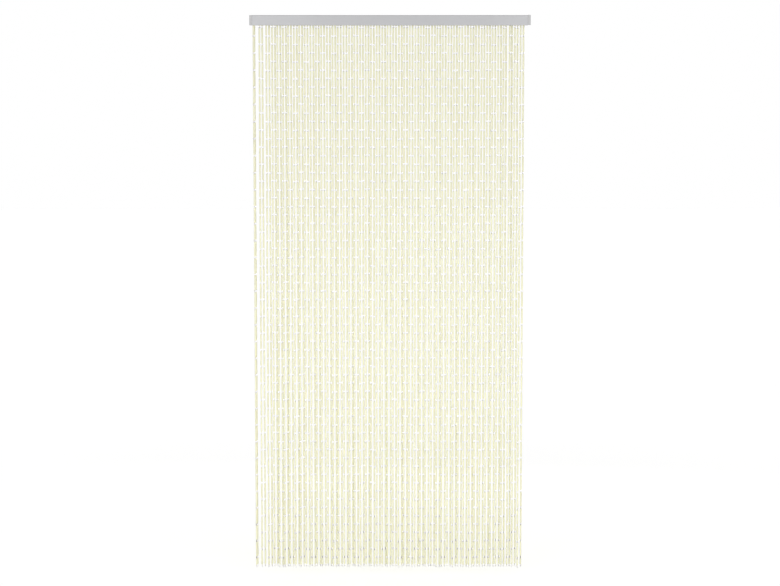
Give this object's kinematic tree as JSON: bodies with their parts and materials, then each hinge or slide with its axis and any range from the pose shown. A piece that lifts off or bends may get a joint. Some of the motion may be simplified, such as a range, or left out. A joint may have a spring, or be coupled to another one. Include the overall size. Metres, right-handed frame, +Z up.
{
  "type": "beaded door curtain with rail",
  "caption": "Door curtain of looped plastic bead and tube strings hanging from a flat-backed aluminium wall rail with moulded end caps.",
  "frame": {"origin": "middle of the rail's flat back face, which lies on the wall above the doorway", "axes": "+Z up, +X along the rail to the viewer's right, +Y out of the rail's back into the wall, so the curtain's front faces -Y"},
  "size_m": [1, 0.024, 1.9985],
  "materials": {
    "rail_metal": "satin anodised, fine lengthwise grain",
    "cap_plastic": "fine satin moulded plastic",
    "cream_tube": "smooth, slightly milky extruded PVC tube",
    "clear_bead": "clear moulded plastic bead"
  },
  "bodies": {
    "root": {"rail": "rail_metal", "end_cap_left": "cap_plastic", "end_cap_right": "cap_plastic", "string_curtain": "cream_tube"}
  },
  "joints": []
}
